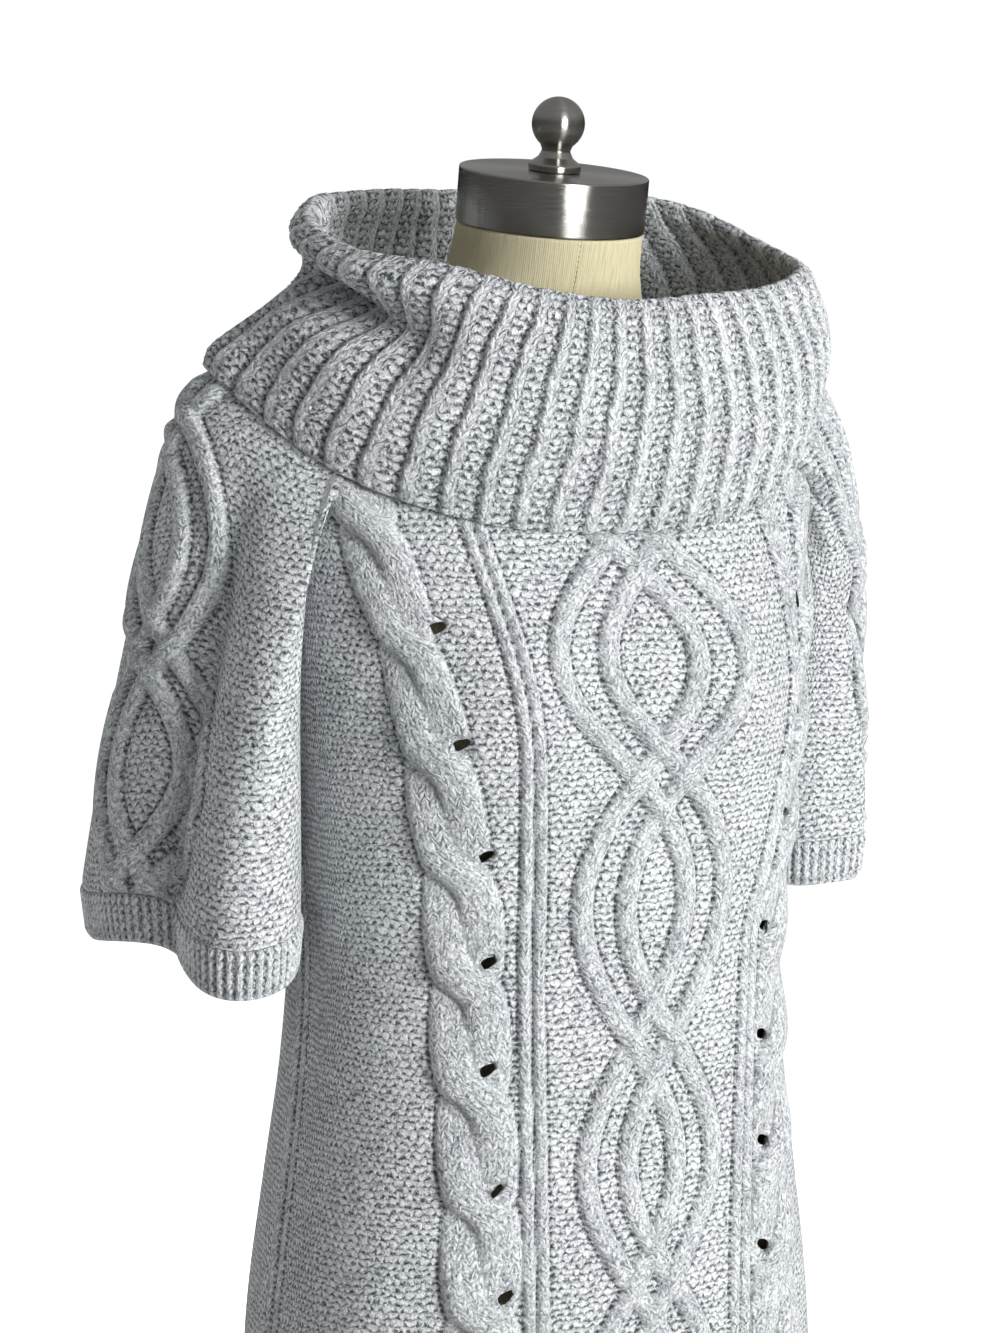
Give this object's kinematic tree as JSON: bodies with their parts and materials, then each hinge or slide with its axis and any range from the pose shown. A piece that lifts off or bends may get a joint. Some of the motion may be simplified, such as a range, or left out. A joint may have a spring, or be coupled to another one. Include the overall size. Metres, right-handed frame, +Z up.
{
  "type": "sweater dress on a dress form",
  "caption": "Cable-knit sweater dress with a wide ribbed cowl collar and short wide sleeves, worn by a limbless linen dress form that stands on a pole and a round base.",
  "frame": {"origin": "on the floor under the middle of the stand's base", "axes": "+Z up the stand's pole, -Y the way the form faces, +X towards the wearer's left"},
  "size_m": [0.5331, 0.38, 1.5664],
  "materials": {
    "knit": "heathered grey-blue and white chunky knit, matt and slightly fuzzy",
    "linen": "natural cream linen stretched over the form",
    "steel": "brushed round the cap's axis",
    "pole": "brushed steel tube",
    "base": "black enamel on cast iron"
  },
  "bodies": {
    "root": {"front": "knit", "back": "knit", "sleeve_right": "knit", "sleeve_left": "knit", "cuff_right": "knit", "cuff_left": "knit", "collar": "knit", "form_torso": "linen", "neck_cap": "steel", "finial": "steel", "stand_pole": "pole", "stand_base": "base"}
  },
  "joints": []
}
